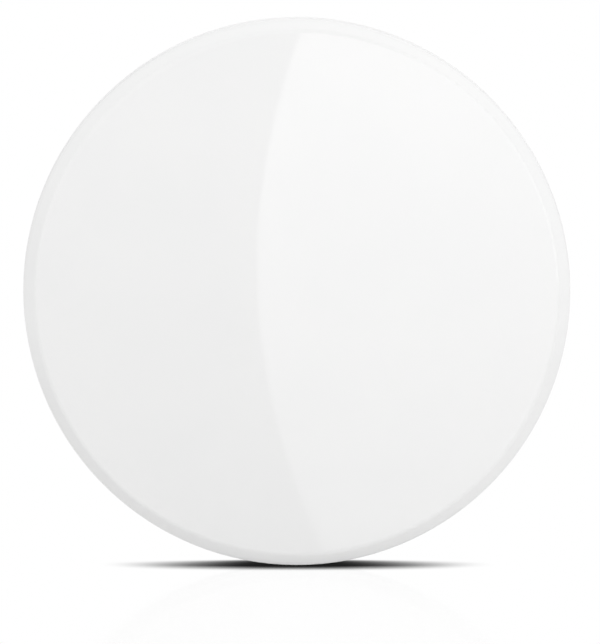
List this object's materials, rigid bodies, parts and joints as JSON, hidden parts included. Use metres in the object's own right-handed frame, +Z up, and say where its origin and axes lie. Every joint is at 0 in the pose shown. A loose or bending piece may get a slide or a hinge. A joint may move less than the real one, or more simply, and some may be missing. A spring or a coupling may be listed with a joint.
{
  "type": "wireless panic button",
  "caption": "Round wall-mounted panic button whose whole face is a key, with a twist-off back over a coin cell.",
  "frame": {"origin": "centre of the adhesive pad's back face, where it meets the wall", "axes": "+Y into the wall, so that the key faces -Y; +Z up; +X to the right as the key is looked at"},
  "size_m": [0.06, 0.015, 0.06],
  "materials": {
    "white_gloss": "polished white moulded plastic",
    "white_satin": "fine-textured white moulded plastic",
    "foam": "closed-cell foam with adhesive",
    "grey_foam": "soft closed-cell foam",
    "silicone": "smooth silicone rubber",
    "board_green": "glass-fibre board with solder mask",
    "steel": "bright rolled steel",
    "spring_steel": "tempered spring steel",
    "gilt": "thin gold plate",
    "black_plastic": "black moulded plastic",
    "natural_plastic": "natural nylon",
    "clear_plastic": "clear polished acrylic",
    "ceramic_tan": "fired ceramic with tinned ends",
    "cell_filling": "pressed powder",
    "lamp_white": "clear resin over phosphor"
  },
  "bodies": {
    "wall_base": {"adhesive_pad": "foam", "rear_lid": "white_satin", "lid_seal": "silicone", "cell_cushion": "grey_foam"},
    "housing_body": {"housing": "white_satin", "circuit_board": "board_green", "board_screws": "steel", "battery_holder": "natural_plastic", "positive_contact": "gilt", "negative_contact": "gilt", "coin_cell_can": "steel", "coin_cell_gasket": "natural_plastic", "coin_cell_cap": "steel", "coin_cell_core": "cell_filling", "switch_base": "black_plastic", "switch_cover": "steel", "switch_terminals": "gilt", "switch_dome": "spring_steel", "return_springs": "spring_steel", "status_led": "lamp_white", "light_pipe": "clear_plastic", "radio_shield": "steel", "radio_chip": "black_plastic", "crystal": "steel", "antenna": "gilt", "reservoir_capacitor": "ceramic_tan", "small_parts": "ceramic_tan"},
    "cap_body": {"front_cap": "white_gloss", "press_pad": "silicone"},
    "plunger_body": {"switch_plunger": "black_plastic"}
  },
  "joints": [
    {"name": "lid_twist", "type": "hinge", "parent": "wall_base", "child": "housing_body", "pos_m": [0, 0, 0], "axis": [0, -1, 0], "range_deg": [0, 36]},
    {"name": "cap_press", "type": "slide", "parent": "housing_body", "child": "cap_body", "axis": [0, 1, 0], "range_m": [0, 0.0005], "stiffness_N_per_m": 1500, "springref_m": -0.0007, "deforming": ["return_springs"]},
    {"name": "plunger_press", "type": "slide", "parent": "housing_body", "child": "plunger_body", "axis": [0, 1, 0], "range_m": [0, 0.0005], "deforming": ["switch_dome"]}
  ],
  "couplings": [
    {"joint": "plunger_press", "follows": "cap_press", "ratio": 1}
  ]
}
